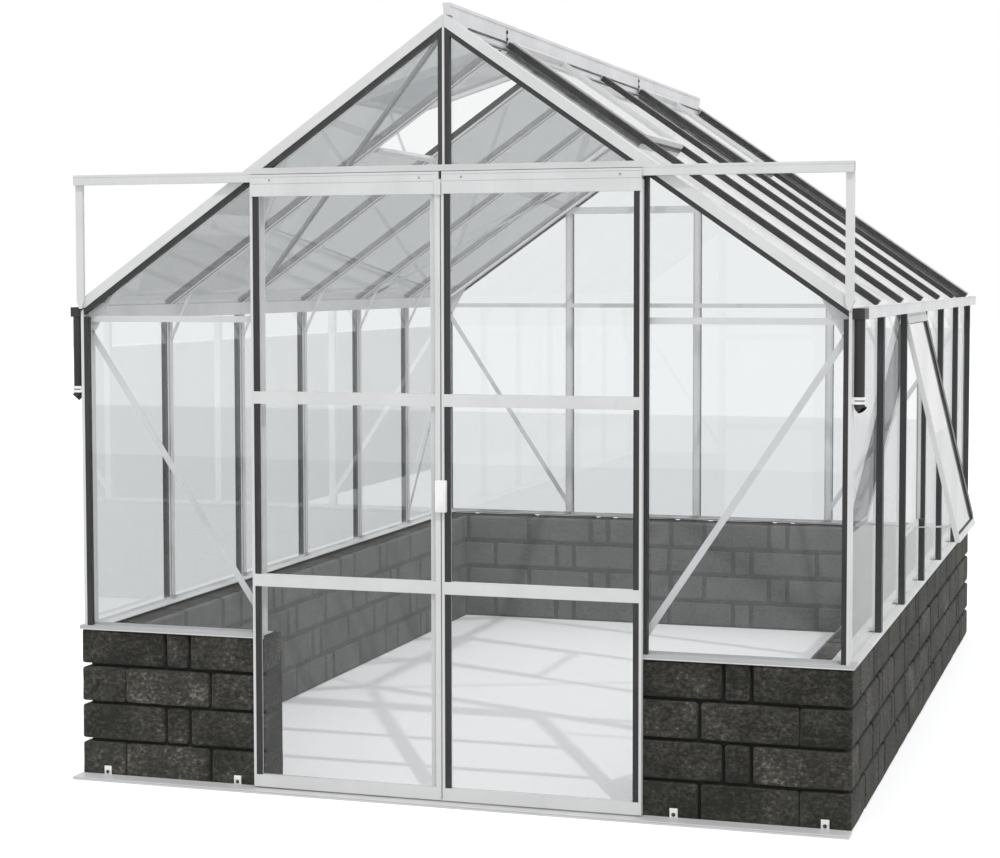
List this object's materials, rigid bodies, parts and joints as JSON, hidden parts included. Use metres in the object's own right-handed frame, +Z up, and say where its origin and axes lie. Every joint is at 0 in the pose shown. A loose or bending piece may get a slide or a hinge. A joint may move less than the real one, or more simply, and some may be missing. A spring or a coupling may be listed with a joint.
{
  "type": "greenhouse",
  "caption": "Glass greenhouse with a pitched aluminium frame on a low block wall, sliding double doors in one gable, roof vents, a top-hung side window, gutters and downpipes.",
  "frame": {"origin": "on the ground, at the middle of the underside of the door threshold", "axes": "+X to the right seen from the doors, +Y from the doors towards the rear gable, along the ridge, +Z up"},
  "size_m": [3.269, 4.585, 2.954],
  "materials": {
    "aluminium": "powder coated, light grey",
    "mill_aluminium": "mill finish",
    "glass": "clear float glass",
    "rubber_strip": "matte",
    "blockwork": "rough split concrete block",
    "black_plastic": "satin black",
    "white_plastic": "satin white",
    "roller": "smooth"
  },
  "bodies": {
    "frame": {"front_walls": "blockwork", "side_walls": "blockwork", "rear_wall": "blockwork", "side_base_rails": "aluminium", "gable_base_rails": "aluminium", "corner_posts": "aluminium", "side_bars": "aluminium", "door_jambs": "aluminium", "gable_centre_bar": "aluminium", "rear_gable_bars": "aluminium", "door_head": "aluminium", "gable_rails": "aluminium", "verges": "aluminium", "roof_bars": "aluminium", "ridge_cap": "mill_aluminium", "gutters": "mill_aluminium", "gutter_hoppers": "black_plastic", "downpipes": "black_plastic", "pipe_clips": "white_plastic", "pipe_shoes": "black_plastic", "gable_glass": "glass", "side_glass": "glass", "roof_glass": "glass", "gable_strips": "rubber_strip", "side_strips": "rubber_strip", "roof_strips": "rubber_strip", "roof_vent_frames": "aluminium", "roof_vent_glass": "glass", "roof_vent_sills": "aluminium", "roof_vent_stay": "mill_aluminium", "side_window_frame": "aluminium", "side_window_glass": "glass", "side_window_seat": "aluminium", "side_window_stay": "mill_aluminium", "gable_braces": "mill_aluminium", "corner_gussets": "mill_aluminium", "side_braces": "mill_aluminium", "roof_braces": "mill_aluminium", "knee_braces": "mill_aluminium", "door_track": "aluminium", "track_uprights": "aluminium", "threshold_rail": "aluminium", "threshold_brackets": "aluminium"},
    "left_door": {"left_door_frame": "aluminium", "left_door_fascia": "aluminium", "left_door_glass": "glass", "left_door_strips": "rubber_strip", "left_door_rollers": "roller", "door_handle": "white_plastic"},
    "right_door": {"right_door_frame": "aluminium", "right_door_fascia": "aluminium", "right_door_glass": "glass", "right_door_strips": "rubber_strip", "right_door_rollers": "roller"}
  },
  "joints": [
    {"name": "left_door_slide", "type": "slide", "parent": "frame", "child": "left_door", "axis": [-1, 0, 0], "range_m": [0, 0.705]},
    {"name": "right_door_slide", "type": "slide", "parent": "frame", "child": "right_door", "axis": [1, 0, 0], "range_m": [0, 0.705]}
  ]
}
